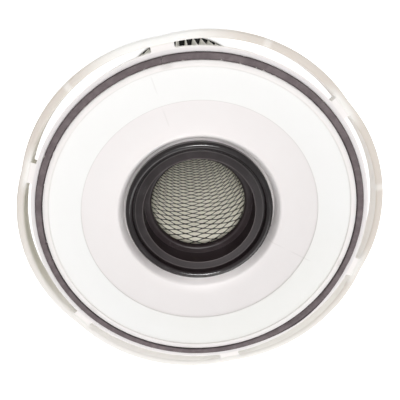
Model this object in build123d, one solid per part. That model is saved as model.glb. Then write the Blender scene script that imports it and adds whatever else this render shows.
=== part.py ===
"""Cylindrical HEPA filter cartridge with a slotted end flange and a rubber outlet port.

The cartridge stands on its closed cap. Z is the cartridge axis, z = 0 is the foot
of the cap, and every size is in millimetres. Depths count down from the seat, the
flat land of the flange that carries the gasket.
"""

from build123d import *
import math
import os

# Overall
seat_height = 660.0  # foot of the closed cap to the gasket land

# Flange: gasket land, dished web and outlet pocket
web_thickness = 3.5
land_outer_width = 4.8  # gasket to the seat's outer wall
land_inner_width = 5.9  # gasket to the inner edge of the land
land_step = 1.0
seat_wall_depth = 16.0
seat_wall_thickness = 2.5
dish_outer_width = 32.2  # land to the step in the dish
dish_step_depth = 7.8
dish_step = 0.8
pocket_foot_gap = 2.6  # port to the foot of the pocket wall
pocket_wall_run = 5.4
pocket_edge_depth = 18.7
pocket_depth = 29.5
pocket_edge_round = 3.0
collar_gap = 7.7  # pocket edge to the core collar

# Flange: grip rim, spokes and slots
slot_gap = 4.4  # seat wall to rim at a spoke
slot_end_round = 1.2
rim_bow = 3.4  # how far the rim bows out between two spokes
rim_valley_round = 60.0
rim_width = 7.8
rim_height = 16.0
rim_rise = 1.0  # rim top above the land
rim_round = 2.8
spoke_count = 6
spoke_width = 22.0
spoke_height = 12.0
spoke_turn = -82.0  # angle of the first spoke

# Flange: sockets on the hidden side
skirt_depth = 44.0
skirt_thickness = 2.5
collar_depth = 42.0
collar_thickness = 2.5
rib_count = 18
rib_thickness = 2.0
rib_depth = 12.0

# Gasket strip in its groove
gasket_offset = 2.2  # skirt to gasket, measured radially
gasket_width = 7.3
gasket_groove_depth = 2.5
gasket_proud = 1.8
gasket_round = 1.6
gasket_clearance = 0.2
gasket_joint_gap = 0.4
gasket_joint_angle = -81.0

# Rubber outlet port
port_bore_radius = 62.2
port_land_width = 8.8
port_land_thickness = 4.0
port_groove_width = 2.4
port_groove_depth = 2.0
port_lip_width = 7.6
port_lip_height = 10.0
port_lip_round = 3.4
port_tube_thickness = 4.0
port_tube_depth = 56.0
port_mouth_reach = 8.0
port_mouth_height = 8.0
port_mouth_round = 3.0
port_bead_reach = 3.5
port_bead_height = 7.0
port_hole_clearance = 0.3

# Inner core of expanded metal
metal_thickness = 1.2
core_column_count = 5
core_row_count = 14
strand_width = 9.0
selvedge = 14.0  # plain band at each end of the tube

# Plain sleeve round the core, and pleated media round the sleeve
sleeve_thickness = 0.6
sleeve_clearance = 0.2  # core to sleeve
pleat_count = 57
pleat_depth = 56.6
media_thickness = 1.0
pleat_tip_width = 3.6
pleat_valley_width = 1.6
media_clearance = 0.3  # sleeve to media

# Sealant beds
sealant_below_web = 3.0
sealant_thickness_cap = 8.0
socket_clearance = 0.8  # media to skirt, and core to collar

# Closed cap
cap_thickness = 3.0
cap_skirt_height = 26.0
cap_collar_height = 20.0
cap_recess = 6.0
cap_recess_slope = 4.0
cap_foot_width = 8.7  # recess to the core collar
cap_edge_round = 2.5

# Radii that follow from the sizes above, from the port outwards
port_groove_radius = port_bore_radius + port_land_width
port_outer_radius = port_groove_radius + port_groove_width + port_lip_width
port_mouth_radius = port_bore_radius - port_mouth_reach
port_tube_radius = port_bore_radius + port_tube_thickness
port_hole_radius = port_tube_radius + port_hole_clearance
pocket_foot_radius = port_outer_radius + pocket_foot_gap
pocket_radius = pocket_foot_radius + pocket_wall_run
collar_inner_radius = pocket_radius + collar_gap
collar_outer_radius = collar_inner_radius + collar_thickness
core_inner_radius = collar_outer_radius + socket_clearance
core_outer_radius = core_inner_radius + metal_thickness
sleeve_inner_radius = core_outer_radius + sleeve_clearance
sleeve_outer_radius = sleeve_inner_radius + sleeve_thickness
media_inner_radius = sleeve_outer_radius + media_clearance
media_outer_radius = media_inner_radius + pleat_depth
skirt_inner_radius = media_outer_radius + socket_clearance
skirt_outer_radius = skirt_inner_radius + skirt_thickness
gasket_inner_radius = skirt_outer_radius + gasket_offset
gasket_outer_radius = gasket_inner_radius + gasket_width
land_inner_radius = gasket_inner_radius - land_inner_width
seat_outer_radius = gasket_outer_radius + land_outer_width
rim_inner_radius = seat_outer_radius + slot_gap
rim_outer_radius = rim_inner_radius + rim_width
dish_step_radius = land_inner_radius - dish_outer_width
cap_recess_radius = collar_inner_radius - cap_foot_width - cap_recess_slope

# Levels that follow from the sizes above
pocket_floor_z = seat_height - pocket_depth
pocket_edge_z = seat_height - pocket_edge_depth
dish_step_z = seat_height - dish_step_depth
dish_foot_z = dish_step_z - dish_step
dish_slope = (dish_foot_z - pocket_edge_z) / (dish_step_radius - pocket_radius)
collar_web_z = pocket_edge_z + collar_gap * dish_slope  # face of the web over the collar
hub_under_z = pocket_floor_z - web_thickness
stack_top_z = hub_under_z - sealant_below_web
stack_bottom_z = cap_thickness + sealant_thickness_cap
stack_length = stack_top_z - stack_bottom_z


def ring(corners, angle=360.0, start=0.0):
    """Turn a closed (radius, z, corner round) outline about the cartridge axis."""
    points = [(radius, 0.0, z) for radius, z, _ in corners]
    rounds = [corner for _, _, corner in corners]
    outline = FilletPolyline(*points, radius=rounds, close=True)
    face = make_face(outline)
    turned = revolve(face, Axis.Z, revolution_arc=angle)
    return turned.rotate(Axis.Z, start)


def tube(inner_radius, outer_radius, bottom_z, height):
    """Plain tube about the cartridge axis."""
    wall = Circle(outer_radius) - Circle(inner_radius)
    return Pos(0, 0, bottom_z) * extrude(wall, height)


def lobed_face(radius):
    """Face that touches a circle at each spoke and bows out between two spokes."""
    half = 180.0 / spoke_count
    arcs = []
    for index in range(spoke_count):
        start = spoke_turn + index * 2 * half
        ends = [Vector(radius, 0).rotate(Axis.Z, start + turn) for turn in (0.0, 2 * half)]
        middle = Vector(radius + rim_bow, 0).rotate(Axis.Z, start + half)
        arcs.append(ThreePointArc(ends[0], middle, ends[1]))
    face = make_face(arcs)
    return fillet(face.vertices(), rim_valley_round)


def build_flange():
    """Moulded flange: dished web, gasket land, slotted grip rim and sockets."""
    land_z = seat_height
    dish_top_z = seat_height - land_step
    groove_outer = gasket_outer_radius + gasket_clearance
    groove_inner = gasket_inner_radius - gasket_clearance
    wall_foot_z = seat_height - seat_wall_depth
    web = ring([
        (port_hole_radius, hub_under_z, 0.0),
        (port_hole_radius, pocket_floor_z, 0.0),
        (pocket_foot_radius, pocket_floor_z, 0.0),
        (pocket_radius, pocket_edge_z, pocket_edge_round),
        (dish_step_radius, dish_foot_z, 0.0),
        (dish_step_radius, dish_step_z, 0.0),
        (land_inner_radius, dish_top_z, 0.0),
        (land_inner_radius, land_z, 0.0),
        (groove_inner, land_z, 0.0),
        (groove_inner, land_z - gasket_groove_depth, 0.0),
        (groove_outer, land_z - gasket_groove_depth, 0.0),
        (groove_outer, land_z, 0.0),
        (seat_outer_radius, land_z, 0.0),
        (seat_outer_radius, wall_foot_z, 0.0),
        (seat_outer_radius - seat_wall_thickness, wall_foot_z, 0.0),
        (seat_outer_radius - seat_wall_thickness, land_z - gasket_groove_depth - web_thickness, 0.0),
        (land_inner_radius, dish_top_z - gasket_groove_depth - web_thickness, 0.0),
        (dish_step_radius, dish_foot_z - web_thickness, 0.0),
        (pocket_radius + web_thickness, pocket_edge_z - web_thickness, 0.0),
        (pocket_foot_radius + web_thickness, hub_under_z, 0.0),
    ])
    rim_bottom_z = seat_height + rim_rise - rim_height
    hoop = lobed_face(rim_outer_radius) - lobed_face(rim_inner_radius)
    rim = Pos(0, 0, rim_bottom_z) * extrude(hoop, rim_height)
    rim = fillet(rim.edges().group_by(Axis.Z)[-1], rim_round)
    spoke_z = seat_height - spoke_height / 2
    spoke_inner = seat_outer_radius - seat_wall_thickness / 2
    spoke_outer = rim_inner_radius + rim_width / 2
    spoke = Pos((spoke_inner + spoke_outer) / 2, 0, spoke_z) * Box(
        spoke_outer - spoke_inner, spoke_width, spoke_height
    )
    spokes = [
        spoke.rotate(Axis.Z, spoke_turn + index * 360.0 / spoke_count)
        for index in range(spoke_count)
    ]
    frame = web + rim + spokes
    slot_corners = [
        edge
        for edge in frame.edges().filter_by(Axis.Z)
        if abs(edge.bounding_box().min.Z - seat_height + spoke_height) < 0.01
    ]
    frame = fillet(slot_corners, slot_end_round)
    skirt_top_z = land_z - gasket_groove_depth - web_thickness / 2
    skirt_bottom_z = seat_height - skirt_depth
    skirt = tube(skirt_inner_radius, skirt_outer_radius, skirt_bottom_z, skirt_top_z - skirt_bottom_z)
    collar_top_z = collar_web_z - web_thickness / 2
    collar_bottom_z = seat_height - collar_depth
    collar = tube(collar_inner_radius, collar_outer_radius, collar_bottom_z, collar_top_z - collar_bottom_z)
    rib_inner = skirt_outer_radius - skirt_thickness / 2
    rib_outer = seat_outer_radius - seat_wall_thickness / 2
    rib_top_z = land_z - gasket_groove_depth - web_thickness / 2
    rib = Pos((rib_inner + rib_outer) / 2, 0, rib_top_z - rib_depth / 2) * Box(
        rib_outer - rib_inner, rib_thickness, rib_depth
    )
    ribs = [rib.rotate(Axis.Z, index * 360.0 / rib_count) for index in range(rib_count)]
    return frame + skirt + collar + ribs


def build_gasket():
    """Gasket strip bent to a ring, with a butt joint between its ends."""
    floor_z = seat_height - gasket_groove_depth
    top_z = seat_height + gasket_proud
    joint = math.degrees(gasket_joint_gap / gasket_outer_radius)
    return ring(
        [
            (gasket_inner_radius, floor_z, 0.0),
            (gasket_outer_radius, floor_z, 0.0),
            (gasket_outer_radius, top_z, gasket_round),
            (gasket_inner_radius, top_z, gasket_round),
        ],
        angle=360.0 - joint,
        start=gasket_joint_angle + joint / 2,
    )


def build_port():
    """Moulded rubber outlet: sealing lip, land, bore, inturned mouth and snap bead."""
    land_z = pocket_floor_z + port_land_thickness
    lip_z = pocket_floor_z + port_lip_height
    groove_outer = port_outer_radius - port_lip_width
    mouth_bottom_z = seat_height - port_tube_depth
    mouth_top_z = mouth_bottom_z + port_mouth_height
    bead_top_z = hub_under_z
    bead_radius = port_tube_radius + port_bead_reach
    return ring([
        (port_outer_radius, pocket_floor_z, 0.0),
        (port_outer_radius, lip_z, port_lip_round),
        (groove_outer, lip_z, port_lip_round),
        (groove_outer, land_z - port_groove_depth, 0.0),
        (port_groove_radius, land_z - port_groove_depth, 0.0),
        (port_groove_radius, land_z, 0.0),
        (port_bore_radius, land_z, 0.0),
        (port_bore_radius, mouth_top_z, 0.0),
        (port_mouth_radius, mouth_top_z, port_mouth_round),
        (port_mouth_radius, mouth_bottom_z, 0.0),
        (port_tube_radius, mouth_bottom_z, 0.0),
        (port_tube_radius, bead_top_z - port_bead_height, 0.0),
        (bead_radius, bead_top_z, 0.0),
        (port_tube_radius, bead_top_z, 0.0),
        (port_tube_radius, pocket_floor_z, 0.0),
    ])


def build_core():
    """Round tube with staggered diamond openings and a plain band at each end."""
    long_way = 2 * math.pi * core_outer_radius / core_column_count
    short_way = (stack_length - 2 * selvedge - strand_width) / (core_row_count / 2 + 0.5)
    half_angle = math.pi / core_column_count * (1 - strand_width / long_way * 1.6)
    half_width = core_outer_radius * math.sin(half_angle)
    half_height = (short_way - strand_width * 1.2) / 2
    diamond = Polyline(
        (half_width, 0), (0, half_height), (-half_width, 0), (0, -half_height), close=True
    )
    window = extrude(make_face(Plane.YZ * diamond), core_outer_radius * 1.1)
    first_z = stack_bottom_z + selvedge + strand_width / 2 + short_way / 2
    cutters = []
    for row in range(core_row_count):
        row_z = first_z + row * short_way / 2
        for column in range(core_column_count):
            turn = (column + row % 2 / 2) * 360.0 / core_column_count
            cutters.append((Pos(0, 0, row_z) * window).rotate(Axis.Z, turn))
    wall = tube(core_inner_radius, core_outer_radius, stack_bottom_z, stack_length)
    return wall - cutters


def build_sleeve():
    """Plain sheet wrapped round the core."""
    return tube(sleeve_inner_radius, sleeve_outer_radius, stack_bottom_z, stack_length)


def build_media():
    """Media sheet folded into deep pleats and closed into a ring."""
    outside = []
    inside = []
    pitch = 2 * math.pi / pleat_count
    valley_radius = media_inner_radius + media_thickness
    roof_radius = media_outer_radius - media_thickness
    tip_half = pleat_tip_width / 2
    valley_half = pleat_valley_width / 2
    for index in range(pleat_count):
        tip = index * pitch
        valley = tip + pitch / 2
        for radius, centre, offset, wall in (
            (media_outer_radius, tip, -tip_half, outside),
            (media_outer_radius, tip, tip_half, outside),
            (valley_radius, valley, -valley_half, outside),
            (valley_radius, valley, valley_half, outside),
            (roof_radius, tip, media_thickness - tip_half, inside),
            (roof_radius, tip, tip_half - media_thickness, inside),
            (media_inner_radius, valley, -valley_half - media_thickness, inside),
            (media_inner_radius, valley, valley_half + media_thickness, inside),
        ):
            angle = centre + offset / radius
            wall.append((radius * math.cos(angle), radius * math.sin(angle)))
    sheet = make_face(Polyline(*outside, close=True)) - make_face(Polyline(*inside, close=True))
    return Pos(0, 0, stack_bottom_z) * extrude(sheet, stack_length)


def build_top_sealant():
    """Cast sealant that fills the flange socket above the pack."""
    land_z = seat_height - land_step - gasket_groove_depth - web_thickness
    collar_run = collar_outer_radius - pocket_radius - web_thickness
    under_slope = (dish_foot_z - pocket_edge_z) / (dish_step_radius - pocket_radius - web_thickness)
    return ring([
        (collar_outer_radius, stack_top_z, 0.0),
        (skirt_inner_radius, stack_top_z, 0.0),
        (skirt_inner_radius, land_z, 0.0),
        (land_inner_radius, land_z, 0.0),
        (dish_step_radius, dish_foot_z - web_thickness, 0.0),
        (collar_outer_radius, pocket_edge_z - web_thickness + collar_run * under_slope, 0.0),
    ])


def build_bottom_sealant():
    """Cast sealant ring in the cap below the pack."""
    return tube(collar_outer_radius, skirt_inner_radius, cap_thickness, sealant_thickness_cap)


def build_cap():
    """Closed end cap with an outer skirt, a core collar and a raised centre."""
    return ring([
        (0.0, cap_recess, 0.0),
        (cap_recess_radius, cap_recess, 0.0),
        (cap_recess_radius + cap_recess_slope, 0.0, 0.0),
        (skirt_outer_radius, 0.0, cap_edge_round),
        (skirt_outer_radius, cap_skirt_height, 0.0),
        (skirt_inner_radius, cap_skirt_height, 0.0),
        (skirt_inner_radius, cap_thickness, 0.0),
        (collar_outer_radius, cap_thickness, 0.0),
        (collar_outer_radius, cap_collar_height, 0.0),
        (collar_inner_radius, cap_collar_height, 0.0),
        (collar_inner_radius, cap_recess + cap_thickness, 0.0),
        (0.0, cap_recess + cap_thickness, 0.0),
    ])


def main():
    """Build every piece and write one STEP file for each."""
    pieces = {
        "flange_plate": build_flange(),
        "flange_gasket": build_gasket(),
        "port_seal": build_port(),
        "inner_core": build_core(),
        "inner_sleeve": build_sleeve(),
        "pleated_media": build_media(),
        "top_sealant": build_top_sealant(),
        "bottom_sealant": build_bottom_sealant(),
        "bottom_cap": build_cap(),
    }
    os.makedirs("parts", exist_ok=True)
    for name, piece in pieces.items():
        export_step(piece, f"parts/{name}.step")


if __name__ == "__main__":
    main()
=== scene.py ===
"""Looks of a pleated HEPA filter cartridge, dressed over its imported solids.

Everything is in metres in the row frame: Z is the cartridge axis, z = 0 is the foot
of the closed cap, and the flange with its gasket and outlet port is on top.
"""

import logging
import math
from dataclasses import dataclass
from enum import Enum
from functools import cached_property
from typing import NamedTuple

import bmesh
import bpy
import numpy as np
from mathutils import Matrix, Vector


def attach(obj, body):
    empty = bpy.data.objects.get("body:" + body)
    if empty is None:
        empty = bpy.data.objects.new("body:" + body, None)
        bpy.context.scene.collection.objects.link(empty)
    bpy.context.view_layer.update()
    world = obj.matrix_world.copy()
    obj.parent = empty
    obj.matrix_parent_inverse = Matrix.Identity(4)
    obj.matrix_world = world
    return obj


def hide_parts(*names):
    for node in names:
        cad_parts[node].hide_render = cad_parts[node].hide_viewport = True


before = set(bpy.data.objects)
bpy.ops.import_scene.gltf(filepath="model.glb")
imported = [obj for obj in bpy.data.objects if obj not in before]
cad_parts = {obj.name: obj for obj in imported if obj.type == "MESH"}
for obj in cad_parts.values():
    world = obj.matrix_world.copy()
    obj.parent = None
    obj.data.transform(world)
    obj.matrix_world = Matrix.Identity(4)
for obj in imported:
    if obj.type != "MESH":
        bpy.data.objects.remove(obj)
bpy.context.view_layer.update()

LOG = logging.getLogger("filter_cartridge")

Colour = tuple[float, float, float]
Place = tuple[float, float, float]
Span = tuple[float, float]
Socket = bpy.types.NodeSocket
Material = bpy.types.Material
Piece = bpy.types.Object
Array = np.ndarray

MM = 0.001
FULL_TURN = 2 * math.pi
RAY_CORE = 0.2  # share of a ray's width in which it is full
STACK_BOTTOM = 11.0 * MM  # foot of the pleats, the sleeve and the core
STACK_TOP = 624.0 * MM  # top of the same three


class Slot(Enum):
    """Material slots of the record."""

    FLANGE = "flange_plastic"
    CAP = "cap_plastic"
    GASKET = "gasket_foam"
    PORT = "port_rubber"
    MESH = "galvanised_mesh"
    PAPER = "filter_paper"
    SEALANT = "sealant"


class Blend(Enum):
    """Ways of mixing two colours."""

    MIX = "MIX"
    MULTIPLY = "MULTIPLY"
    DARKEN = "DARKEN"


class Patches(NamedTuple):
    """Random patches: where fractal noise lies between two levels."""

    scale: float  # repeats per metre
    detail: float  # octaves
    low: float  # noise at which a patch begins
    high: float  # noise at which it is full
    rough: float = 0.55  # share of each finer octave


class Dots(NamedTuple):
    """Round dots at random points."""

    scale: float  # points per metre
    full: float  # distance from its point, in repeats, to which a dot is full
    gone: float  # distance at which it has faded out


class Relief(NamedTuple):
    """Fine unevenness of a surface, from the same kind of noise."""

    scale: float
    detail: float
    depth: float  # in metres
    strength: float
    rough: float = 0.55


class Ray(NamedTuple):
    """Mark that runs out from the axis, or several evenly round it."""

    angle: float  # in degrees
    half: float  # half of its width, in metres
    share: float = 1.0  # how much of its colour shows in its middle
    copies: int = 1


class Band(NamedTuple):
    """Ring-shaped zone about the axis, in metres."""

    inner: float
    outer: float
    rise: float  # width over which it comes in
    fall: float  # width over which it goes out


class Graph:
    """Shader graph of one material, with short calls for the nodes used here."""

    def __init__(self, name: str) -> None:
        """Start an empty material.

        Args:
            name: Name of the material.
        """
        self.material = bpy.data.materials.new(name)
        self.material.use_nodes = True
        self.tree = self.material.node_tree
        self.tree.nodes.clear()
        self.out = self.tree.nodes.new("ShaderNodeOutputMaterial")

    def node(self, kind: str, **values: object) -> bpy.types.Node:
        """Add a node and fill its inputs.

        Args:
            kind: Blender's type name of the node.
            **values: Values, sockets or None, by input name with _ for a space.

        Returns:
            The new node.
        """
        made = self.tree.nodes.new(kind)
        for key, value in values.items():
            if value is not None:
                self.fill(made.inputs[key.replace("_", " ")], value)
        return made

    def fill(self, socket: Socket, value: object) -> None:
        """Link a socket into an input, or set the input's own value.

        Args:
            socket: The input.
            value: Another node's output, a number or a colour.
        """
        if isinstance(value, Socket):
            self.tree.links.new(value, socket)
        elif isinstance(value, tuple) and len(value) == 3 and socket.type == "RGBA":
            socket.default_value = (*value, 1.0)
        else:
            socket.default_value = value

    def place(self) -> Socket:
        """Return the point being shaded, in metres in the object's own frame."""
        return self.node("ShaderNodeTexCoord").outputs["Object"]

    def calc(self, kind: str, *values: object) -> Socket:
        """Work out one arithmetic step.

        Args:
            kind: Operation of the Math node.
            *values: One to three numbers or sockets.

        Returns:
            The result's socket.
        """
        made = self.tree.nodes.new("ShaderNodeMath")
        made.operation = kind
        for index, value in enumerate(values):
            self.fill(made.inputs[index], value)
        return made.outputs[0]

    def times(self, first: object, second: object) -> Socket:
        """Return the product of two values."""
        return self.calc("MULTIPLY", first, second)

    def larger(self, first: object, second: object) -> Socket:
        """Return the larger of two values."""
        return self.calc("MAXIMUM", first, second)

    @cached_property
    def across(self) -> tuple[Socket, Socket]:
        """Return x and y of the point being shaded."""
        parts = self.node("ShaderNodeSeparateXYZ", Vector=self.place()).outputs
        return parts[0], parts[1]

    @cached_property
    def radius(self) -> Socket:
        """Return the radius about the axis."""
        return self.calc("SQRT", self.calc("ADD", *(self.times(part, part) for part in self.across)))

    @cached_property
    def angle(self) -> Socket:
        """Return the angle about the axis."""
        return self.calc("ARCTAN2", self.across[1], self.across[0])

    def facing(self) -> Socket:
        """Return how far the surface faces up, from -1 to 1."""
        normal = self.node("ShaderNodeNewGeometry").outputs["Normal"]
        return self.node("ShaderNodeSeparateXYZ", Vector=normal).outputs[2]

    def noise(self, kind: Patches | Relief, at: object = None) -> Socket:
        """Return fractal noise from 0 to 1, read at a point or at the object's own."""
        values = {"Scale": kind.scale, "Detail": kind.detail, "Roughness": kind.rough}
        return self.node("ShaderNodeTexNoise", Vector=at or self.place(), **values).outputs["Fac"]

    def patches(self, marks: Patches, to: Span = (0.0, 1.0)) -> Socket:
        """Return one value off random patches and another on them."""
        return self.step(self.noise(marks), marks.low, marks.high, to)

    def cells(self, scale: float) -> Socket:
        """Return the distance to the nearest of random points, at a scale per metre."""
        made = self.node("ShaderNodeTexVoronoi", Vector=self.place(), Scale=scale, Randomness=1.0)
        return made.outputs["Distance"]

    def dots(self, marks: Dots) -> Socket:
        """Return 1 on random dots and 0 off them."""
        return self.fade(self.cells(marks.scale), marks.full, marks.gone)

    def step(self, value: object, low: float, high: float, to: Span = (0.0, 1.0)) -> Socket:
        """Map a range smoothly onto another.

        Args:
            value: The input socket.
            low: Value that gives the first result.
            high: Value that gives the second result.
            to: The two results.

        Returns:
            The mapped socket.
        """
        made = self.tree.nodes.new("ShaderNodeMapRange")
        made.interpolation_type = "SMOOTHSTEP"
        names = ("Value", "From Min", "From Max", "To Min", "To Max")
        for name, number in zip(names, (value, low, high, *to)):
            self.fill(made.inputs[name], number)
        return made.outputs[0]

    def fade(self, value: object, full: float, gone: float) -> Socket:
        """Return 1 up to one value, falling smoothly to 0 at another."""
        return self.step(value, full, gone, (1.0, 0.0))

    def ring(self, centre: float, half: float) -> Socket:
        """Return 1 on a circle about the axis, fading to 0 at half a width from it."""
        away = self.calc("ABSOLUTE", self.calc("SUBTRACT", self.radius, centre))
        return self.fade(away, 0.0, half)

    def band(self, zone: Band) -> Socket:
        """Return 1 in a ring-shaped zone and 0 outside it."""
        start = self.step(self.radius, zone.inner, zone.inner + zone.rise)
        return self.times(start, self.fade(self.radius, zone.outer - zone.fall, zone.outer))

    def ray(self, mark: Ray) -> Socket:
        """Mark even rays out from the axis.

        Args:
            mark: The ray.

        Returns:
            A socket that is 1 in the middle of a ray and 0 off it.
        """
        turned = self.calc("SUBTRACT", self.angle, math.radians(mark.angle) - 2 * FULL_TURN)
        wave = self.calc("PINGPONG", turned, FULL_TURN / mark.copies / 2)
        return self.fade(self.times(wave, self.radius), mark.half * RAY_CORE, mark.half)

    def mixed(self, share: object, first: object, second: object, way: Blend = Blend.MIX) -> Socket:
        """Mix two colours.

        Args:
            share: Share of the second colour.
            first: Colour or socket.
            second: Colour or socket.
            way: How they mix.

        Returns:
            The mixed colour's socket.
        """
        made = self.tree.nodes.new("ShaderNodeMix")
        made.data_type = "RGBA"
        made.blend_type = way.value
        for index, value in ((0, share), (6, first), (7, second)):  # the sockets it uses for colours
            self.fill(made.inputs[index], value)
        return made.outputs[2]

    def bump(self, height: object, depth: float, strength: float, under: object = None) -> Socket:
        """Turn a height from 0 to 1 into a normal, on top of another one if it's given."""
        values = {"Height": height, "Distance": depth, "Strength": strength, "Normal": under}
        return self.node("ShaderNodeBump", **values).outputs["Normal"]

    def relief(self, kind: Relief, under: object = None, holes: object = None) -> Socket:
        """Make a surface uneven.

        Args:
            kind: The unevenness.
            under: Normal of another bump that this one adds to.
            holes: Socket of where the surface also sinks, from 0 to 1.

        Returns:
            The normal's socket.
        """
        height = self.noise(kind)
        if holes is not None:
            height = self.calc("SUBTRACT", height, holes)
        return self.bump(height, kind.depth, kind.strength, under)

    def surface(self, **values: object) -> bpy.types.Node:
        """Add the Principled shader, join it to the output and return it."""
        shader = self.node("ShaderNodeBsdfPrincipled", **values)
        self.tree.links.new(shader.outputs[0], self.out.inputs["Surface"])
        return shader


@dataclass(frozen=True)
class MouldedWhite:
    """Satin white moulded plastic with faint flow marks, scuffs, a greyer rim, painted light and painted
    shade.
    """

    name: str
    dish: Colour = (0.965, 0.955, 0.930)
    hub: Colour = (0.920, 0.868, 0.858)
    land: Colour = (0.935, 0.890, 0.872)
    rim: Colour = (0.690, 0.635, 0.580)
    shade: Colour = (0.55, 0.52, 0.49)
    # slot wall colours: painted light, and painted shade on one side
    inside: Colour = (0.97, 0.935, 0.90)
    shaded: Colour = (0.60, 0.58, 0.50)
    # painted shade on the land just outside the gasket
    gasket_shade: Colour = (0.83, 0.79, 0.79)
    cream: Colour = (0.955, 0.945, 0.885)
    hub_edge: float = 126.3 * MM
    land_edge: float = 158.5 * MM
    rim_edge: float = 181.2 * MM
    edge_fade: float = 0.3 * MM
    rim_fade: float = 1.0 * MM
    gasket_shade_band: Band = Band(171.6 * MM, 176.4 * MM, 0.4 * MM, 1.6 * MM)
    wall_facing: Span = (0.15, 0.60)
    slot_inset: Span = (6.5 * MM, 5.0 * MM)
    shaded_side: Ray = Ray(-4.0, 150.0 * MM)
    cream_side: Ray = Ray(118.0, 200.0 * MM, 0.55)
    welds: tuple[Ray, ...] = (Ray(153.5, 1.1 * MM, 0.16), Ray(-76.0, 1.1 * MM, 0.16))
    weld_fade: float = 4.0 * MM
    weld_breaks: Patches = Patches(40.0, 2.0, 0.35, 0.60)
    clouds: Patches = Patches(14.0, 4.0, 0.35, 0.75)
    cloud_share: float = 0.10
    flow_marks: Ray = Ray(-52.0, 5.5 * MM, 0.38, 6)
    # painted glow on the rim round the spokes, and painted light on the rim's lit sides
    spoke_glow: Ray = Ray(-82.0, 34.0 * MM, copies=6)
    glow_width: float = 7.5 * MM
    glow_shares: Span = (0.85, 0.20)
    painted_light_sides: tuple[Ray, ...] = (Ray(-80.0, 95.0 * MM, 0.85), Ray(72.0, 360.0 * MM, 0.62))
    sinks: Ray = Ray(-82.0, 8.5 * MM, 0.30, 3)
    sink_band: Band = Band(159.0 * MM, 166.0 * MM, 1.0 * MM, 1.0 * MM)
    scuffs: Patches = Patches(260.0, 6.0, 0.60, 0.78, 0.7)
    scuffed: Patches = Patches(30.0, 2.0, 0.45, 0.65)
    scuff_share: float = 0.10
    # painted shade along the steps at the land's and the hub's edges
    land_step_shade: Span = (1.1 * MM, 0.35)  # half width and share
    hub_step_shade: Span = (0.7 * MM, 0.40)
    turning: float = 5200.0
    turning_depth: float = 0.25
    flow_depth: float = 0.6
    marks_relief: Span = (0.02 * MM, 0.6)  # depth and strength
    grain: Relief = Relief(2600.0, 2.0, 0.02 * MM, 0.5)
    waves: Relief = Relief(22.0, 2.0, 0.6 * MM, 0.35)
    sheen: Patches = Patches(70.0, 4.0, 0.3, 0.75)
    roughness: Span = (0.48, 0.64)
    specular: float = 0.3
    ior: float = 1.48
    milk: float = 0.5
    milk_depth: float = 8.0 * MM

    def zones(self, g: Graph) -> Socket:
        """Colour the hub, dish, land and rim, paint shade beside the gasket, and paint light and shade on
        the slot walls.

        Args:
            g: The material's graph.

        Returns:
            The colour.
        """
        colour = self.hub
        for edge, soft, beyond in (
            (self.hub_edge, self.edge_fade, self.dish),
            (self.land_edge, self.edge_fade, self.land),
            (self.rim_edge, self.rim_fade, self.rim),
        ):
            colour = g.mixed(g.step(g.radius, edge - soft, edge + soft), colour, beyond)
        # painted shade beside the gasket
        colour = g.mixed(g.band(self.gasket_shade_band), colour, self.gasket_shade)
        # slot walls get painted light, with painted shade on the side round -4 degrees
        upright = g.fade(g.calc("ABSOLUTE", g.facing()), *self.wall_facing)
        slot = g.times(upright, g.step(g.radius, *(self.rim_edge - inset for inset in self.slot_inset)))
        return g.mixed(slot, colour, g.mixed(g.ray(self.shaded_side), self.inside, self.shaded))

    def moulding(self, g: Graph, colour: Socket) -> Socket:
        """Add a creamier side, weld lines and faint clouds.

        Args:
            g: The material's graph.
            colour: The colour so far.

        Returns:
            The colour with them.
        """
        side = g.times(g.ray(self.cream_side), self.cream_side.share)
        colour = g.mixed(side, colour, self.cream, Blend.DARKEN)
        for line in self.welds:
            inward = g.fade(g.radius, self.land_edge - self.weld_fade, self.land_edge)
            weld = g.times(g.times(g.ray(line), inward), g.patches(self.weld_breaks))
            colour = g.mixed(g.times(weld, line.share), colour, self.shade)
        cloud = g.times(g.patches(self.clouds), self.cloud_share)
        return g.mixed(cloud, colour, self.hub, Blend.MULTIPLY)

    def wear_and_painted_light(self, g: Graph, colour: Socket, flow: Socket) -> Socket:
        """Whiten the flow marks, paint light and glow on the rim, and add sink marks, scuffs and painted
        shade at two steps.

        Args:
            g: The material's graph.
            colour: The colour so far.
            flow: Where the flow marks are.

        Returns:
            The colour with them.
        """
        # the rim whitens along the flow marks, with a painted glow round the spokes and painted light on
        # its lit sides
        inward = g.step(g.radius, self.rim_edge, self.rim_edge + self.glow_width, self.glow_shares)
        pale = g.larger(g.times(flow, self.flow_marks.share), g.times(g.ray(self.spoke_glow), inward))
        for side in self.painted_light_sides:
            pale = g.larger(pale, g.times(g.ray(side), side.share))
        on_rim = g.step(g.radius, self.rim_edge - self.rim_fade, self.rim_edge + self.rim_fade)
        colour = g.mixed(g.times(pale, on_rim), colour, self.dish)
        sink = g.times(g.ray(self.sinks), g.band(self.sink_band))
        colour = g.mixed(g.times(sink, self.sinks.share), colour, self.shade)
        scuff = g.times(g.patches(self.scuffs), g.patches(self.scuffed))
        colour = g.mixed(g.times(scuff, self.scuff_share), colour, self.shade)
        # painted shade along the two steps
        on_land = g.times(g.ring(self.land_edge, self.land_step_shade[0]), self.land_step_shade[1])
        on_hub = g.times(g.ring(self.hub_edge, self.hub_step_shade[0]), self.hub_step_shade[1])
        return g.mixed(g.larger(on_land, on_hub), colour, self.shade)

    def unevenness(self, g: Graph, flow: Socket) -> Socket:
        """Add grain, turning marks, flow marks and slow waves.

        Args:
            g: The material's graph.
            flow: Where the flow marks are.

        Returns:
            The normal.
        """
        turned = g.calc("MULTIPLY_ADD", g.calc("SINE", g.times(g.radius, self.turning)), 0.5, 0.5)
        height = g.calc("MULTIPLY_ADD", turned, self.turning_depth, g.times(flow, self.flow_depth))
        return g.relief(self.waves, g.bump(height, *self.marks_relief, g.relief(self.grain)))

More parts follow.
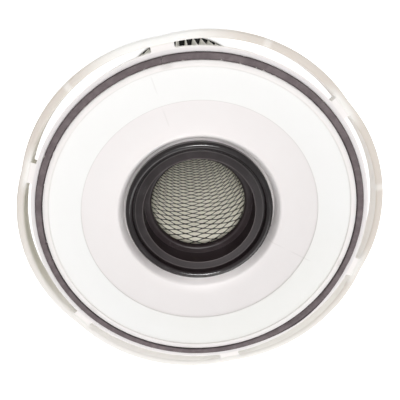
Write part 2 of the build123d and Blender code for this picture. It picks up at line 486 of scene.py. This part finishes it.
    def material(self) -> Material:
        """Build the material.

        Returns:
            The finished material.
        """
        g = Graph(self.name)
        flow = g.ray(self.flow_marks)
        g.surface(
            Base_Color=self.wear_and_painted_light(g, self.moulding(g, self.zones(g)), flow),
            Roughness=g.patches(self.sheen, self.roughness),
            Normal=self.unevenness(g, flow),
            Specular_IOR_Level=self.specular,
            IOR=self.ior,
            Subsurface_Weight=self.milk,
            Subsurface_Radius=(1.0, 1.0, 1.0),
            Subsurface_Scale=self.milk_depth,
        )
        return g.material


@dataclass(frozen=True)
class FoamStrip:
    """Closed-cell rubber strip: grey-brown skin with fine pores, and painted shade on its rounded sides."""

    name: str
    skin: Colour = (0.115, 0.088, 0.093)
    pale: Colour = (0.175, 0.140, 0.146)
    # painted shade for the rounded sides; also the colour of the pores
    side: Colour = (0.045, 0.033, 0.036)
    dust: Colour = (0.42, 0.38, 0.37)
    middle: float = 168.05 * MM
    half_width: float = 3.65 * MM
    edge_shade_shares: Span = (0.62, 0.98)
    wander: Relief = Relief(120.0, 3.0, 1.2 * MM, 1.0)
    fading: Patches = Patches(90.0, 5.0, 0.35, 0.7, 0.65)
    pores: Dots = Dots(2300.0, 0.16, 0.34)
    pore_share: float = 0.5
    pits: Dots = Dots(620.0, 0.05, 0.14)
    hole_share: float = 0.65
    dusting: Patches = Patches(900.0, 4.0, 0.62, 0.75, 0.7)
    dust_share: float = 0.35
    relief: Relief = Relief(1500.0, 4.0, 0.18 * MM, 0.8, 0.7)
    roughness: Span = (0.62, 0.88)
    specular: float = 0.35

    def material(self) -> Material:
        """Build the material.

        Returns:
            The finished material.
        """
        g = Graph(self.name)
        away = g.calc("ABSOLUTE", g.calc("SUBTRACT", g.radius, self.middle))
        wander = g.calc("MULTIPLY_ADD", g.noise(self.wander), self.wander.depth, -self.wander.depth / 2)
        # painted shade darkening the strip towards its rounded sides
        edge = g.step(g.calc("ADD", away, wander), *(self.half_width * share for share in self.edge_shade_shares))
        colour = g.mixed(g.patches(self.fading), self.skin, self.pale)
        colour = g.mixed(edge, colour, self.side)
        holes = g.larger(g.times(g.dots(self.pores), self.pore_share), g.dots(self.pits))
        colour = g.mixed(g.times(holes, self.hole_share), colour, self.side)
        colour = g.mixed(g.times(g.patches(self.dusting), self.dust_share), colour, self.dust)
        g.surface(
            Base_Color=colour,
            Roughness=g.step(edge, 0.0, 1.0, self.roughness),
            Normal=g.relief(self.relief, holes=holes),
            Specular_IOR_Level=self.specular,
        )
        return g.material


@dataclass(frozen=True)
class MouldedRubber:
    """Black moulded rubber with a satin skin, a grey bloom, a few dust specks and painted sheen on its
    land's edges.
    """

    name: str
    black: Colour = (0.0095, 0.0065, 0.0070)
    bloom: Colour = (0.0155, 0.0115, 0.0125)
    dust: Colour = (0.30, 0.28, 0.27)
    # painted sheen: light rings along the edges of the flat land
    painted_sheen: Colour = (0.115, 0.10, 0.10)
    painted_sheen_edges: tuple[float, ...] = (62.4 * MM, 70.6 * MM)
    painted_sheen_half: float = 0.6 * MM
    painted_sheen_share: float = 0.5
    level: Span = (0.2, 0.6)
    crown: Span = (73.5 * MM, 74.5 * MM)
    crown_polish: float = 0.11
    clouds: Patches = Patches(55.0, 5.0, 0.40, 0.72, 0.6)
    cloud_share: float = 0.55
    scuffs: Patches = Patches(380.0, 6.0, 0.60, 0.72, 0.75)
    scuffed: Patches = Patches(26.0, 2.0, 0.52, 0.66)
    scuff_share: float = 0.35
    specks: Dots = Dots(310.0, 0.035, 0.060)
    speckled: Patches = Patches(48.0, 1.0, 0.60, 0.66)
    speck_share: float = 0.7
    skin: Relief = Relief(1400.0, 3.0, 0.03 * MM, 0.4, 0.6)
    waves: Relief = Relief(75.0, 2.0, 0.20 * MM, 0.15)
    roughness: Span = (0.30, 0.38)
    specular: Span = (0.25, 0.36)
    ior: float = 1.5

    def material(self) -> Material:
        """Build the material.

        Returns:
            The finished material.
        """
        g = Graph(self.name)
        cloud = g.patches(self.clouds)
        colour = g.mixed(g.times(cloud, self.cloud_share), self.black, self.bloom)
        scuff = g.times(g.patches(self.scuffs), g.patches(self.scuffed))
        colour = g.mixed(g.times(scuff, self.scuff_share), colour, self.dust)
        specks = g.times(g.dots(self.specks), g.patches(self.speckled))
        colour = g.mixed(g.times(specks, self.speck_share), colour, self.dust)
        # painted sheen on the up-facing edges of the land
        level = g.step(g.facing(), *self.level, (0.0, self.painted_sheen_share))
        for edge in self.painted_sheen_edges:
            colour = g.mixed(g.times(g.ring(edge, self.painted_sheen_half), level), colour, self.painted_sheen)
        crown = g.step(g.radius, *self.crown)
        satin = g.step(cloud, 0.0, 1.0, self.roughness)
        g.surface(
            Base_Color=colour,
            Roughness=g.calc("MULTIPLY_ADD", crown, -self.crown_polish, satin),
            Normal=g.relief(self.waves, g.relief(self.skin)),
            Specular_IOR_Level=g.step(crown, 0.0, 1.0, self.specular),
            IOR=self.ior,
        )
        return g.material


@dataclass(frozen=True)
class ShadedZinc:
    """Galvanised steel strand in a dark olive that is painted shade, with spangle and paler pits."""

    name: str
    # dark olive colours: painted shade of strands seen against the lit paper
    bright: Colour = (0.036, 0.031, 0.020)
    dull: Colour = (0.012, 0.010, 0.006)
    pitted: Colour = (0.05, 0.045, 0.035)
    spangle_scale: float = 420.0
    spangle_span: Span = (0.15, 0.75)
    spangle_share: float = 0.6
    tarnish: Patches = Patches(60.0, 5.0, 0.35, 0.68, 0.65)
    tarnish_share: float = 0.6
    pits: Patches = Patches(3200.0, 3.0, 0.60, 0.72, 0.7)
    pit_share: float = 0.4
    skin: Relief = Relief(1800.0, 3.0, 0.05 * MM, 0.6)
    metal: float = 0.15
    roughness: Span = (0.36, 0.62)

    def material(self) -> Material:
        """Build the material.

        Returns:
            The finished material.
        """
        g = Graph(self.name)
        spangle = g.step(g.cells(self.spangle_scale), *self.spangle_span)
        tarnish = g.patches(self.tarnish)
        colour = g.mixed(g.times(spangle, self.spangle_share), self.dull, self.bright)
        colour = g.mixed(g.times(tarnish, self.tarnish_share), colour, self.dull)
        colour = g.mixed(g.times(g.patches(self.pits), self.pit_share), colour, self.pitted)
        rough = g.step(tarnish, 0.0, 1.0, self.roughness)
        g.surface(Base_Color=colour, Roughness=rough, Metallic=self.metal, Normal=g.relief(self.skin))
        return g.material


@dataclass(frozen=True)
class FibrePaper:
    """Glass-fibre filter paper: off-white, matt, fibrous, and letting some light through."""

    name: str
    pale: Colour = (0.88, 0.865, 0.80)
    grey: Colour = (0.72, 0.70, 0.64)
    through: float = 0.18
    clouds: Patches = Patches(38.0, 4.0, 0.35, 0.75, 0.6)
    fibres: Patches = Patches(2400.0, 5.0, 0.5, 0.75, 0.75)
    fibre_share: float = 0.25
    fibre_stretch: Place = (1.0, 1.0, 0.35)
    fibre_relief: Span = (0.10 * MM, 0.7)  # depth and strength
    roughness: float = 0.92
    specular: float = 0.15

    def material(self) -> Material:
        """Build the material.

        Returns:
            The finished material.
        """
        g = Graph(self.name)
        stretch = g.node("ShaderNodeMapping", Vector=g.place(), Scale=self.fibre_stretch).outputs[0]
        fibre = g.noise(self.fibres, stretch)
        strands = g.step(fibre, self.fibres.low, self.fibres.high)
        colour = g.mixed(g.patches(self.clouds), self.pale, self.grey)
        colour = g.mixed(g.times(strands, self.fibre_share), colour, self.grey)
        skin = g.bump(fibre, *self.fibre_relief)
        shader = g.surface(
            Base_Color=colour, Roughness=self.roughness, Normal=skin, Specular_IOR_Level=self.specular
        )
        light = g.node("ShaderNodeBsdfTranslucent", Color=colour, Normal=skin)
        both = g.node("ShaderNodeMixShader", Fac=self.through)
        g.tree.links.new(shader.outputs[0], both.inputs[1])
        g.tree.links.new(light.outputs[0], both.inputs[2])
        g.tree.links.new(both.outputs[0], g.out.inputs["Surface"])
        return g.material


@dataclass(frozen=True)
class CastSealant:
    """Poured black sealant: almost matt, with cloudy streaks and small bubbles."""

    name: str
    black: Colour = (0.012, 0.011, 0.011)
    grey: Colour = (0.035, 0.033, 0.033)
    streaks: Patches = Patches(26.0, 5.0, 0.35, 0.7, 0.6)
    bubbles: Dots = Dots(380.0, 0.10, 0.20)
    bubble_share: float = 0.4
    skin: Relief = Relief(90.0, 3.0, 0.4 * MM, 0.5)
    roughness: Span = (0.50, 0.68)
    specular: float = 0.12

    def material(self) -> Material:
        """Build the material.

        Returns:
            The finished material.
        """
        g = Graph(self.name)
        streak = g.patches(self.streaks)
        bubbles = g.dots(self.bubbles)
        colour = g.mixed(streak, self.black, self.grey)
        colour = g.mixed(g.times(bubbles, self.bubble_share), colour, self.black)
        g.surface(
            Base_Color=colour,
            Roughness=g.step(streak, 0.0, 1.0, self.roughness),
            Normal=g.relief(self.skin, holes=bubbles),
            Specular_IOR_Level=self.specular,
        )
        return g.material


@dataclass(frozen=True)
class PaleFloor:
    """Plain pale floor that photographs white and keeps the cartridge's shadow."""

    name: str = "pale_floor"
    colour: Colour = (0.92, 0.92, 0.92)
    lift: float = 0.44  # light added where the camera or a reflection sees it

    def material(self) -> Material:
        """Build the material.

        Returns:
            The finished material.
        """
        g = Graph(self.name)
        matt = g.node("ShaderNodeBsdfDiffuse", Color=self.colour)
        paths = g.node("ShaderNodeLightPath").outputs
        seen = g.larger(paths["Is Camera Ray"], paths["Is Glossy Ray"])
        glow = g.node("ShaderNodeEmission", Strength=g.times(seen, self.lift))
        both = g.node("ShaderNodeAddShader")
        g.tree.links.new(matt.outputs[0], both.inputs[0])
        g.tree.links.new(glow.outputs[0], both.inputs[1])
        g.tree.links.new(both.outputs[0], g.out.inputs["Surface"])
        return g.material


class Shell:
    """Vertices and faces of one mesh under construction, held in rows of points."""

    def __init__(self) -> None:
        """Start with no points and no faces."""
        self.points: list[Array] = []
        self.faces: list[Array] = []
        self.count = 0

    def add_points(self, points: Array) -> int:
        """Add points and return the number of the first."""
        first = self.count
        self.points.append(points.reshape(-1, 3))
        self.count += len(self.points[-1])
        return first

    def add_faces(self, faces: Array) -> None:
        """Add rows of vertex numbers, one row for each face."""
        self.faces.append(faces.reshape(-1, faces.shape[-1]))

    def piece(self, name: str, merge: float = 0.0, smooth: float = 0.0) -> Piece:
        """Make the object.

        Args:
            name: Name of the piece.
            merge: Distance within which points become one, in metres, or 0 for none.
            smooth: Angle in degrees below which edges shade smoothly, or 0 for flat.

        Returns:
            The linked object.
        """
        mesh = bpy.data.meshes.new(name)
        rows = [tuple(int(v) for v in row) for block in self.faces for row in block]
        mesh.from_pydata(np.concatenate(self.points).tolist(), [], rows)
        made = bpy.data.objects.new(name, mesh)
        bpy.context.scene.collection.objects.link(made)
        if merge:
            work = bmesh.new()
            work.from_mesh(mesh)
            bmesh.ops.remove_doubles(work, verts=work.verts, dist=merge)
            bmesh.ops.recalc_face_normals(work, faces=work.faces)
            work.to_mesh(mesh)
            work.free()
        if smooth:
            mesh.shade_smooth()
            mesh.set_sharp_from_angle(angle=math.radians(smooth))
        mesh.update()
        return made


def grid_faces(rows: int, columns: int, close_rows: bool, first: int = 0) -> Array:
    """Return the faces of a grid of points whose rows are closed rings.

    Args:
        rows: Rows of points.
        columns: Points in each row.
        close_rows: Whether the last row joins the first.
        first: Number of the grid's first point.

    Returns:
        One row of four vertex numbers for each face.
    """
    steps = rows if close_rows else rows - 1
    row, column = np.meshgrid(np.arange(steps), np.arange(columns), indexing="ij")
    above, beside = (row + 1) % rows, (column + 1) % columns
    corners = ((row, column), (row, beside), (above, beside), (above, column))
    return np.stack([at * columns + along for at, along in corners], -1).reshape(-1, 4) + first


def around(radius: object, angle: Array, height: object) -> Array:
    """Turn radii, angles in radians and heights into points."""
    spread = np.broadcast_arrays(radius * np.cos(angle), radius * np.sin(angle), height)
    return np.stack(spread, -1)


def ride_root(piece: Piece, finish: Material, node: str) -> None:
    """Give a new piece its finish and its body, and hide what it stands for.

    Args:
        piece: The new piece.
        finish: Its material.
        node: CAD node that the piece replaces.
    """
    piece.data.materials.clear()
    piece.data.materials.append(finish)
    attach(piece, "root")
    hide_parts(node)


def dress_node(node: str, finish: Material) -> None:
    """Give a CAD node that stays its finish.

    Args:
        node: Name of the node.
        finish: Its material.
    """
    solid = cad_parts[node]
    solid.data.materials.clear()
    solid.data.materials.append(finish)


@dataclass
class Housing:
    """Moulded end flange, closed cap and the sealant beds inside them."""

    flange_finish: MouldedWhite = MouldedWhite("flange_plastic_white")
    cap_finish: MouldedWhite = MouldedWhite(
        "cap_plastic_white",
        dish=(0.80, 0.785, 0.76),
        hub=(0.78, 0.76, 0.735),
        land=(0.79, 0.77, 0.745),
        gasket_shade=(0.79, 0.77, 0.745),
    )
    sealant_finish: CastSealant = CastSealant("cast_sealant")

    def dress(self) -> None:
        """Give the moulded pieces and the sealant their finishes."""
        dress_node("flange_plate", self.flange_finish.material())
        dress_node("bottom_cap", self.cap_finish.material())
        sealant = self.sealant_finish.material()
        for node in ("top_sealant", "bottom_sealant"):
            dress_node(node, sealant)


@dataclass
class OutletPort:
    """Rubber port in the flange's pocket."""

    finish: MouldedRubber = MouldedRubber("port_rubber_black")

    def dress(self) -> None:
        """Give the port its finish."""
        dress_node("port_seal", self.finish.material())


@dataclass
class GasketStrip:
    """Foam strip laid in the flange's groove, cut by hand and butted at its ends."""

    inner: float = 164.4 * MM
    outer: float = 171.7 * MM
    bottom: float = 657.5 * MM
    top: float = 661.8 * MM
    corner: float = 1.7 * MM
    corner_points: int = 5
    shoulder: float = 0.45
    slack: float = 0.25 * MM
    sunk: float = 0.14 * MM
    joint_angle: float = -81.0
    joint_gap: float = 0.5 * MM
    steps: int = 900
    wander: float = 0.22 * MM
    wander_waves: tuple[int, ...] = (3, 7, 17, 41, 97)
    wander_fall: float = 0.35
    wander_sum: float = 2.6
    nick_counts: tuple[int, int] = (26, 8)
    nick_depth: float = 0.7 * MM
    nick_steps: Span = (0.8, 2.4)
    nick_shares: Span = (0.3, 1.0)
    cut_angles: tuple[float, ...] = (-114.0, -111.5, -106.0, -100.0, 4.0, 11.0, 65.0, 137.0, 140.5, 143.0)
    cut_depths: Span = (0.91 * MM, 1.3 * MM)
    cut_width: float = 0.35
    stray_angle: float = 129.0
    stray_width: float = 15.0
    stray_out: float = 2.3 * MM
    stray_from: float = 0.58
    stray_over: float = 0.2
    sags: tuple[tuple[int, float, float], ...] = ((5, 1.0, 0.08 * MM), (23, 0.0, 0.05 * MM))
    seed: int = 11
    finish: FoamStrip = FoamStrip("gasket_strip_grey")

    def section(self) -> Array:
        """Return the strip's outline as rows of (across, up), each from 0 to 1."""
        wide = self.corner / (self.outer - self.inner)
        tall = self.corner / (self.top - self.bottom)
        turns = np.linspace(0.0, math.pi / 2, self.corner_points)
        left = np.stack([wide - wide * np.cos(turns), 1 - tall + tall * np.sin(turns)], -1)
        right = np.stack([1 - wide + wide * np.sin(turns), 1 - tall + tall * np.cos(turns)], -1)
        up, down = [[0, 0], [0, self.shoulder]], [[1, self.shoulder], [1, 0]]
        return np.concatenate([up, left, [[0.5, 1.0]], right, down])

    def hump(self, turn: Array, angle: float, width: float) -> Array:
        """Return a smooth hump of height 1 at an angle, both it and its width in degrees."""
        off = (np.degrees(turn) - angle + 180.0) % 360.0 - 180.0
        return np.exp(-((off / width) ** 2))

    def edge(self, turn: Array, nicks: int, rng: np.random.Generator) -> Array:
        """Return how far one side wanders outwards.

        Args:
            turn: Angles along the strip, in radians.
            nicks: Number of small nicks in it.
            rng: Source of the random draws.

        Returns:
            The wander at each angle, in metres.
        """
        line = np.zeros(self.steps)
        for waves in self.wander_waves:
            line += np.sin(waves * turn + rng.uniform(0, FULL_TURN)) / waves**self.wander_fall
        line *= self.wander / self.wander_sum
        for _ in range(nicks):
            centre, wide = rng.uniform(0, self.steps), rng.uniform(*self.nick_steps)
            depth = self.nick_depth * rng.uniform(*self.nick_shares)
            line -= depth * np.exp(-(((np.arange(self.steps) - centre) / wide) ** 2))
        return line

    def build(self) -> Piece:
        """Sweep the section round, with hand-cut edges, and butt its ends.

        Returns:
            The strip.
        """
        rng = np.random.default_rng(self.seed)
        gap = self.joint_gap / self.outer
        start = math.radians(self.joint_angle) + gap / 2
        turn = start + np.linspace(0.0, FULL_TURN - gap, self.steps)
        inside, outside = (self.edge(turn, nicks, rng) for nicks in self.nick_counts)
        for number, angle in enumerate(self.cut_angles):
            inside -= self.cut_depths[number % 2] * self.hump(turn, angle, self.cut_width)
        low = self.inner + self.slack - inside
        high = self.outer - self.slack + outside
        across, up = self.section().T
        stray = self.stray_out * self.hump(turn, self.stray_angle, self.stray_width)
        lean = np.clip((up - self.stray_from) / self.stray_over, 0.0, 1.0)
        radius = low[:, None] + (high - low)[:, None] * across + stray[:, None] * lean
        sag = sum(np.sin(waves * turn + phase) * depth for waves, phase, depth in self.sags)
        height = self.bottom + (self.top - self.sunk + sag - self.bottom)[:, None] * up
        shell = Shell()
        shell.add_points(around(radius, turn[:, None], height))
        shell.add_faces(grid_faces(self.steps, len(up), False))
        end = np.arange(len(up))
        shell.add_faces(end[::-1][None, :])
        shell.add_faces(end[None, :] + (self.steps - 1) * len(up))
        return shell.piece("gasket_strip", merge=1e-7, smooth=50)

    def dress(self, strip: Piece) -> None:
        """Give the strip its finish in place of the plain ring."""
        ride_root(strip, self.finish.material(), "flange_gasket")


@dataclass
class ExpandedTube:
    """Tube rolled from expanded metal, with tilted strands and plain ends."""

    radius: float = 100.6 * MM
    columns: int = 23
    first_angle: float = 86.9
    corners: int = 3
    sheet: float = 0.8 * MM
    lift: float = 0.55 * MM
    selvedge: float = 14.0 * MM
    row_step: float = 8.4525 * MM
    row_zero: float = 517.1 * MM
    strand: float = 2.15 * MM
    bond: float = 2.6 * MM
    bulge: float = 1.55
    end_round: float = 1.2
    finish: ShadedZinc = ShadedZinc("galvanised_mesh_shaded")

    @property
    def pitch(self) -> float:
        """Return the way from one column to the next, in metres."""
        return FULL_TURN * self.radius / self.columns

    def rows(self) -> Array:
        """Return the numbers of the half rows that fit between the plain ends."""
        lowest = STACK_BOTTOM + self.selvedge + self.row_step - self.row_zero
        highest = STACK_TOP - self.selvedge - self.row_step - self.row_zero
        return np.arange(math.ceil(lowest / self.row_step), math.floor(highest / self.row_step) + 1)

    def loop(self, quarter: Array, top: float) -> Array:
        """Mirror the first quarter of a loop, in rows of (along, up), into the whole."""
        upper = np.concatenate([quarter, [[0.0, top]], quarter[:0:-1] * [-1, 1]])
        return np.concatenate([upper, upper[:1] * [-1, 1], upper[1:][::-1] * [1, -1]])

    def opening(self) -> tuple[Array, Array]:
        """Return the loop of one opening and of the diamond cell round it.

        Returns:
            Rows of (along, up) in metres for the opening, and as many for the cell.
        """
        half, rise = self.pitch / 2 - self.bond, self.row_step - self.strand
        share = np.arange(self.corners) / self.corners
        across = np.cos(share * math.pi / 2) ** self.end_round
        hole = np.stack([across * half, (1.0 - across**self.bulge) * rise], -1)
        cell = np.stack([(1 - share) * self.pitch / 2, share * self.row_step], -1)
        return self.loop(hole, rise), self.loop(cell, self.row_step)

    def curved(self, along: Array, height: Array, out: object) -> Array:
        """Roll flat points about the axis, some way outwards from the sheet's middle."""
        return around(self.radius + out, along / self.radius + math.radians(self.first_angle), height)

    def add_cell(self, shell: Shell, hole: Array, cell: Array, row: int, column: int) -> None:
        """Add one opening with the strands round it.

        Args:
            shell: The mesh under construction.
            hole: Loop of the opening.
            cell: Loop of the diamond cell.
            row: Number of the half row.
            column: Number of the column.
        """
        size = len(hole)
        along = (column + (row % 2) / 2) * self.pitch
        height = self.row_zero + row * self.row_step
        tilt = hole[:, 1] / np.abs(hole[:, 1]).max() * self.lift
        loops = [
            self.curved(along + loop[:, 0], height + loop[:, 1], out + side)
            for loop, out in ((hole, tilt), (cell, np.zeros(size)))
            for side in (self.sheet / 2, -self.sheet / 2)
        ]
        first = shell.add_points(np.stack(loops))
        at = np.arange(size)
        after = (at + 1) % size
        hole_out, hole_in, cell_out, cell_in = (first + k * size for k in range(4))
        shell.add_faces(np.stack([cell_out + at, cell_out + after, hole_out + after, hole_out + at], -1))
        shell.add_faces(np.stack([cell_in + after, cell_in + at, hole_in + at, hole_in + after], -1))
        shell.add_faces(np.stack([hole_out + at, hole_out + after, hole_in + after, hole_in + at], -1))

    def build(self) -> Piece:
        """Build the tube.

        Returns:
            The tube.
        """
        hole, cell = self.opening()
        shell = Shell()
        rows = self.rows()
        for row in rows:
            for column in range(self.columns):
                self.add_cell(shell, hole, cell, row, column)
        for row, end, half in ((rows[0], STACK_BOTTOM, -1), (rows[-1], STACK_TOP, 1)):
            self.add_band(shell, cell, row, end, half)
        return shell.piece("core_mesh", merge=2e-6, smooth=38)

    def add_band(self, shell: Shell, cell: Array, row: int, end: float, half: int) -> None:
        """Close one end of the tube with its plain band.

        Args:
            shell: The mesh under construction.
            cell: Loop of one diamond cell.
            row: Number of the last half row before the band.
            end: Height of the tube's end.
            half: 1 for the upper end and -1 for the lower one.
        """
        facing = cell[cell[:, 1] * half >= -1e-9]
        facing = facing[np.argsort(facing[:, 0])][:-1]
        starts = (np.arange(self.columns) + (row % 2) / 2) * self.pitch
        along = (starts[:, None] + facing[:, 0]).ravel()
        zigzag = np.tile(self.row_zero + row * self.row_step + facing[:, 1], self.columns)
        flat, out = np.full(len(along), end), self.sheet / 2
        edges = ((zigzag, out), (flat, out), (flat, -out), (zigzag, -out))
        first = shell.add_points(np.stack([self.curved(along, level, side) for level, side in edges]))
        shell.add_faces(grid_faces(len(edges), len(along), False, first))

    def dress(self, tube: Piece) -> None:
        """Give the tube its finish in place of the coarse CAD one."""
        ride_root(tube, self.finish.material(), "inner_core")


@dataclass
class PleatPack:
    """Filter paper folded into deep pleats and closed into a ring."""

    inner: float = 102.5 * MM
    outer: float = 158.6 * MM
    pleats: int = 57
    first_angle: float = 2.2
    levels: int = 25
    paper: float = 0.6 * MM
    inner_fold: float = 0.9 * MM
    outer_fold: float = 0.65 * MM
    fold_turns: tuple[float, ...] = (-1.0, -0.55, 0.55, 1.0)
    fold_drop: float = 0.8
    sway: float = 0.45 * MM
    sway_most: float = 1.6
    bow: float = 3.2 * MM
    seed: int = 5
    finish: FibrePaper = FibrePaper("filter_paper_glass_fibre")

    def fold_line(self, side: float) -> tuple[Array, Array]:
        """Return one side of the folded sheet, seen from above.

        Args:
            side: Distance from the sheet's middle, positive on the outer side.

        Returns:
            Radii and angles of the line's points, all the way round.
        """
        pitch = FULL_TURN / self.pleats
        start = math.radians(self.first_angle)
        tip = (0.0, self.outer_fold + side, self.outer - self.paper / 2 + side, -1.0)
        valley = (0.5, self.inner_fold - side, self.inner + self.paper / 2 + side, 1.0)
        radii, angles = [], []
        for pleat in range(self.pleats):
            for later, fold, far, way in (tip, valley):
                for turn in self.fold_turns:
                    drop = fold * self.fold_drop if abs(turn) == 1.0 else 0.0
                    radii.append(far + way * drop)
                    angles.append(start + (pleat + later) * pitch + turn * fold / far)
        return np.array(radii), np.array(angles)

    def build(self) -> Piece:
        """Build the pleated ring.

        Returns:
            The ring.
        """
        rng = np.random.default_rng(self.seed)
        heights = np.linspace(STACK_BOTTOM, STACK_TOP, self.levels)
        ends, folds = len(self.fold_turns), 2 * self.pleats
        swing = np.repeat(rng.normal(0.0, 1.0, (self.levels, folds)), ends, axis=1)
        swing[1:-1] = (swing[:-2] + 2 * swing[1:-1] + swing[2:]) / 4
        swing = np.clip(swing, -self.sway_most, self.sway_most) * self.sway
        bowed = self.bow * np.sin(math.pi * np.arange(self.levels) / (self.levels - 1))
        sides = []
        for side in (self.paper / 2, -self.paper / 2):
            radii, angles = self.fold_line(side)
            sides.append(around(radii, angles + (swing + bowed[:, None]) / radii, heights[:, None]))
        shell = Shell()
        shell.add_points(np.concatenate([sides[0], sides[1][::-1]]))
        shell.add_faces(grid_faces(2 * self.levels, folds * ends, True))
        return shell.piece("pleated_paper", smooth=48)

    def dress(self, pack: Piece) -> None:
        """Give the pack its finish in place of the plain pleats."""
        ride_root(pack, self.finish.material(), "pleated_media")


@dataclass
class InnerSleeve:
    """Thin filter sheet wrapped round the core as a closed, slightly uneven tube."""

    radius: float = 101.84 * MM
    thickness: float = 0.35 * MM
    ripple: float = 0.09 * MM
    ripple_sum: float = 2.0
    ripple_waves: tuple[tuple[int, int], ...] = ((5, 3), (9, 7), (14, 4), (23, 11))
    folds_per_metre: float = 9.0
    seed: int = 3
    steps: int = 180
    levels: int = 60
    finish: FibrePaper = FibrePaper(
        "sleeve_sheet_pale", pale=(0.96, 0.925, 0.81), grey=(0.90, 0.865, 0.745), through=0.12
    )

    def build(self) -> Piece:
        """Build the sleeve, a little uneven between its ends.

        Returns:
            The sleeve.
        """
        rng = np.random.default_rng(self.seed)
        turn = np.linspace(0.0, FULL_TURN, self.steps, endpoint=False)
        height = np.linspace(STACK_BOTTOM, STACK_TOP, self.levels)[:, None]
        uneven = np.zeros((self.levels, self.steps))
        for waves, folds in self.ripple_waves:
            phase = rng.uniform(0, FULL_TURN, 2)
            fold = np.sin(folds * height * self.folds_per_metre + phase[1])
            uneven += np.sin(waves * turn + phase[0]) * fold
        uneven *= self.ripple / self.ripple_sum
        outer = around(self.radius + self.thickness / 2 + uneven, turn, height)
        inner = around(self.radius - self.thickness / 2 + uneven, turn, height)
        shell = Shell()
        shell.add_points(np.concatenate([outer, inner[::-1]]))
        shell.add_faces(grid_faces(2 * self.levels, self.steps, True))
        return shell.piece("inner_wrap", smooth=60)

    def dress(self, wrap: Piece) -> None:
        """Give the sleeve its finish in place of the plain tube."""
        ride_root(wrap, self.finish.material(), "inner_sleeve")


@dataclass
class Studio:
    """Pale floor, soft light and the camera at the photograph's place."""

    lens: float = 40.91
    sensor: float = 36.0
    shift: Span = (0.0283, 0.0028)
    nearest: float = 10.0 * MM
    eye: Place = (0.0109, -0.2025, 1.0946)
    right: Place = (-0.99755, 0.06475, 0.02642)
    up: Place = (-0.06993, -0.92363, -0.37687)
    back: Place = (0.0, -0.3778, 0.9259)
    floor_size: float = 14.0
    floor_gap: float = 0.2 * MM
    sky: float = 0.99
    backdrop: float = 1.0
    key: float = 1.08
    key_from: Place = (-0.20, 0.68, 0.70)
    key_angle: float = 34.0
    glint: float = 2.3
    glint_from: Place = (-0.06, -0.17, 0.98)
    glint_angle: float = 9.0
    lens_at: Place = (0.0109, -0.190, 1.10)
    lamp_blend: float = 0.5
    lamp_size: float = 20.0 * MM
    lens_lamps: tuple[tuple[str, Place, float, float], ...] = (
        ("bore_lamp", (0.0, 0.004, 0.6405), 16.0, 27.0),
        ("depth_lamp", (0.0, -0.026, 0.6100), 10.0, 11.0),
    )

    def floor(self) -> None:
        """Lay the floor just under the cartridge's foot."""
        half = self.floor_size / 2
        shell = Shell()
        shell.add_points(np.array([[-half, -half, 0], [half, -half, 0], [half, half, 0], [-half, half, 0]]))
        shell.add_faces(np.array([[0, 1, 2, 3]]))
        made = shell.piece("studio_floor")
        made.location.z = -self.floor_gap
        made.data.materials.append(PaleFloor().material())

    def skylight(self) -> None:
        """Light the scene with an even pale sky that the camera sees as white."""
        world = bpy.data.worlds.new("pale_studio")
        bpy.context.scene.world = world
        world.use_nodes = True
        tree = world.node_tree
        tree.nodes.clear()
        out = tree.nodes.new("ShaderNodeOutputWorld")
        paths = tree.nodes.new("ShaderNodeLightPath")
        shown = tree.nodes.new("ShaderNodeMixShader")
        for index, strength in enumerate((self.sky, self.backdrop)):
            sky = tree.nodes.new("ShaderNodeBackground")
            sky.inputs["Strength"].default_value = strength
            tree.links.new(sky.outputs[0], shown.inputs[index + 1])
        tree.links.new(paths.outputs["Is Camera Ray"], shown.inputs[0])
        tree.links.new(shown.outputs[0], out.inputs["Surface"])

    def lights(self) -> None:
        """Hang a soft key, a small light seen in gloss only, and two lamps by the lens."""
        key = self.hang("key_light", "SUN", self.key, self.key_from, (0.0, 0.0, 0.0))
        key.data.angle = math.radians(self.key_angle)
        glint = self.hang("window_glint", "SUN", self.glint, self.glint_from, (0.0, 0.0, 0.0))
        glint.data.angle = math.radians(self.glint_angle)
        glint.visible_diffuse = False
        for name, aim, angle, power in self.lens_lamps:
            lamp = self.hang(name, "SPOT", power, self.lens_at, aim)
            lamp.data.spot_size = math.radians(angle)
            lamp.data.spot_blend = self.lamp_blend
            lamp.data.shadow_soft_size = self.lamp_size
            lamp.visible_glossy = False

    def hang(self, name: str, kind: str, power: float, place: Place, aim: Place) -> Piece:
        """Hang one lamp.

        Args:
            name: Name of the lamp.
            kind: Blender's kind of light.
            power: Its strength.
            place: Where it hangs, or for a sun the direction that it comes from.
            aim: The point that it faces.

        Returns:
            The lamp.
        """
        light = bpy.data.lights.new(name, kind)
        light.energy = power
        hung = bpy.data.objects.new(name, light)
        bpy.context.scene.collection.objects.link(hung)
        hung.location = place
        hung.rotation_euler = (Vector(place) - Vector(aim)).to_track_quat("Z", "Y").to_euler()
        return hung

    def camera(self) -> None:
        """Set up the camera at the photograph's viewing angle."""
        lens = bpy.data.cameras.new("photo_camera")
        lens.lens = self.lens
        lens.sensor_width = self.sensor
        lens.sensor_fit = "HORIZONTAL"
        lens.shift_x, lens.shift_y = self.shift
        lens.clip_start = self.nearest
        made = bpy.data.objects.new("photo_camera", lens)
        bpy.context.scene.collection.objects.link(made)
        axes = Matrix((self.right, self.up, self.back)).transposed().to_4x4()
        made.matrix_world = Matrix.Translation(self.eye) @ axes
        bpy.context.scene.camera = made

    def set_up(self) -> None:
        """Make the camera, the floor, the sky and the lights, and set plain colour."""
        self.camera()
        self.floor()
        self.skylight()
        self.lights()
        bpy.context.scene.view_settings.view_transform = "Standard"


def main() -> None:
    """Build and dress every sub-assembly and report each piece."""
    logging.basicConfig(level=logging.INFO, format="%(name)s: %(message)s")
    Studio().set_up()
    Housing().dress()
    LOG.info("flange, cap and sealant dressed")
    OutletPort().dress()
    LOG.info("outlet port dressed")
    for maker in (GasketStrip(), ExpandedTube(), InnerSleeve(), PleatPack()):
        piece = maker.build()
        maker.dress(piece)
        LOG.info("%s: %d faces", piece.name, len(piece.data.polygons))


if __name__ == "__main__":
    main()
